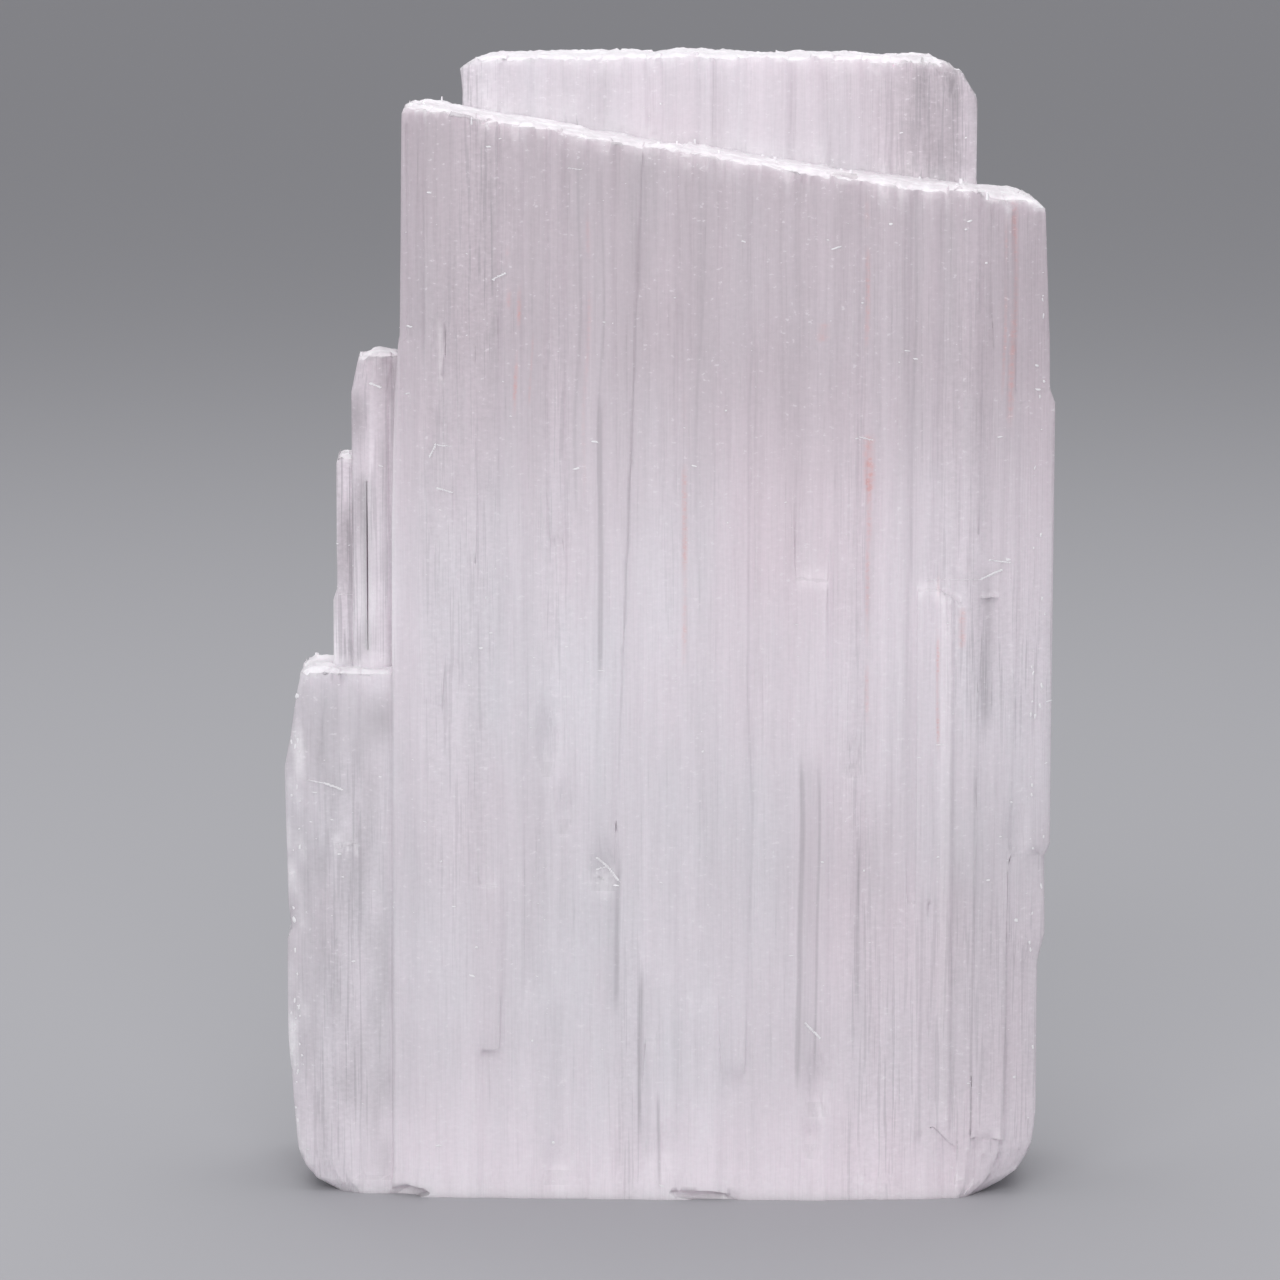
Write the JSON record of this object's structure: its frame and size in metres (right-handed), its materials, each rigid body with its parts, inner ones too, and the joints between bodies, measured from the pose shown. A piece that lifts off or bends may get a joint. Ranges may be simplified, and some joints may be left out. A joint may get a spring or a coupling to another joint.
{
  "type": "gypsum crystal",
  "caption": "Upright block of milky fibrous gypsum, cleaved into blades with a slanted front crest, a taller back slab and a stepped left side.",
  "frame": {"origin": "middle of the block's box in plan, on the level of its flat foot", "axes": "+Z along the fibres, up; +X to the right as the great face is looked at, away from the stepped side; +Y to the back"},
  "size_m": [0.0538, 0.0238, 0.0798],
  "materials": {
    "gypsum": "satin"
  },
  "bodies": {
    "root": {"gypsum_block": "gypsum"}
  },
  "joints": []
}
